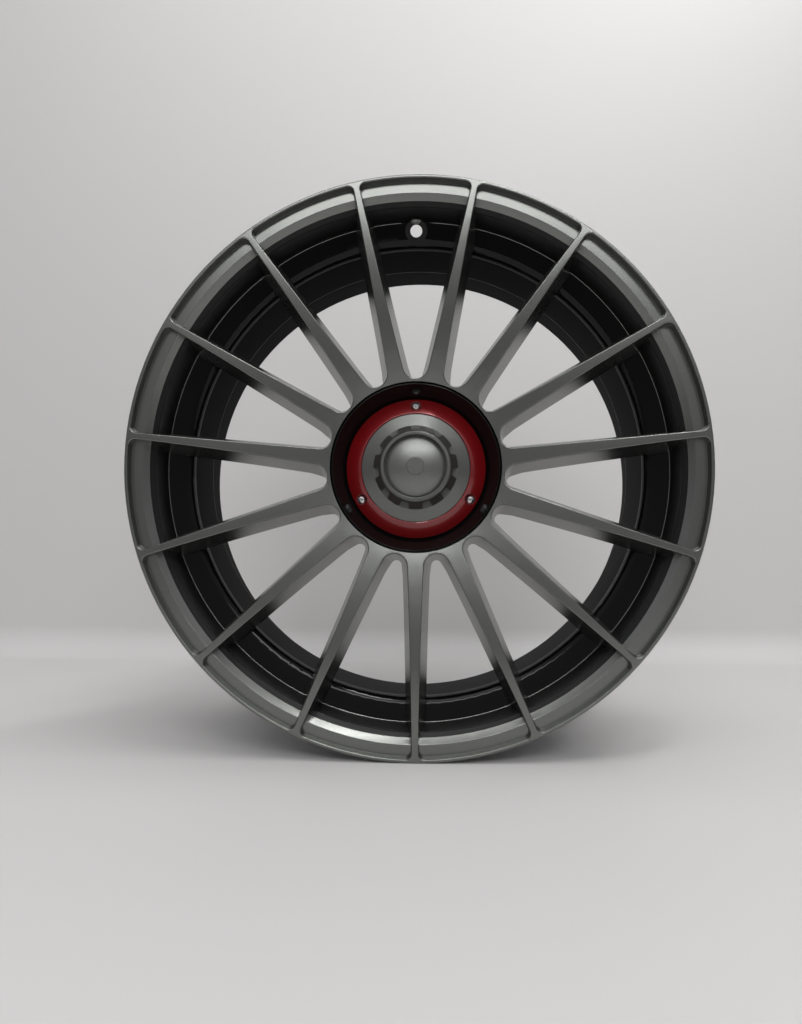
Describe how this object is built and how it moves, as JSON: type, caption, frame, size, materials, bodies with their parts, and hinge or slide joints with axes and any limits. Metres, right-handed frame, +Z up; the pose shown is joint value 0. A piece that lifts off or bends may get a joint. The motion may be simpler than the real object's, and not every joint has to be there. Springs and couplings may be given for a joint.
{
  "type": "car wheel rim",
  "caption": "Cast car wheel rim with thin blade spokes, stepped lip and a screwed centre-lock style hub cover; carries a tyre and bolts to a hub.",
  "frame": {"origin": "on the wheel axis, half way between the outer faces of the two flanges", "axes": "+Z up, wheel axis along Y, outer face towards -Y, vehicle side towards +Y"},
  "size_m": [0.5171, 0.2428, 0.5172],
  "materials": {
    "graphite": "satin",
    "black_gloss": "gloss",
    "spring_steel": "bright",
    "red_ring": "gloss",
    "screw_steel": "bright",
    "graphite_cap": "satin",
    "graphite_dome": "satin",
    "graphite_badge": "satin"
  },
  "bodies": {
    "root": {"wheel": "graphite", "hub_cover": "black_gloss", "retaining_spring": "spring_steel", "trim_ring": "red_ring", "ring_screws": "screw_steel", "lock_nut": "graphite_cap", "dome_cap": "graphite_dome", "centre_badge": "graphite_badge"}
  },
  "joints": []
}
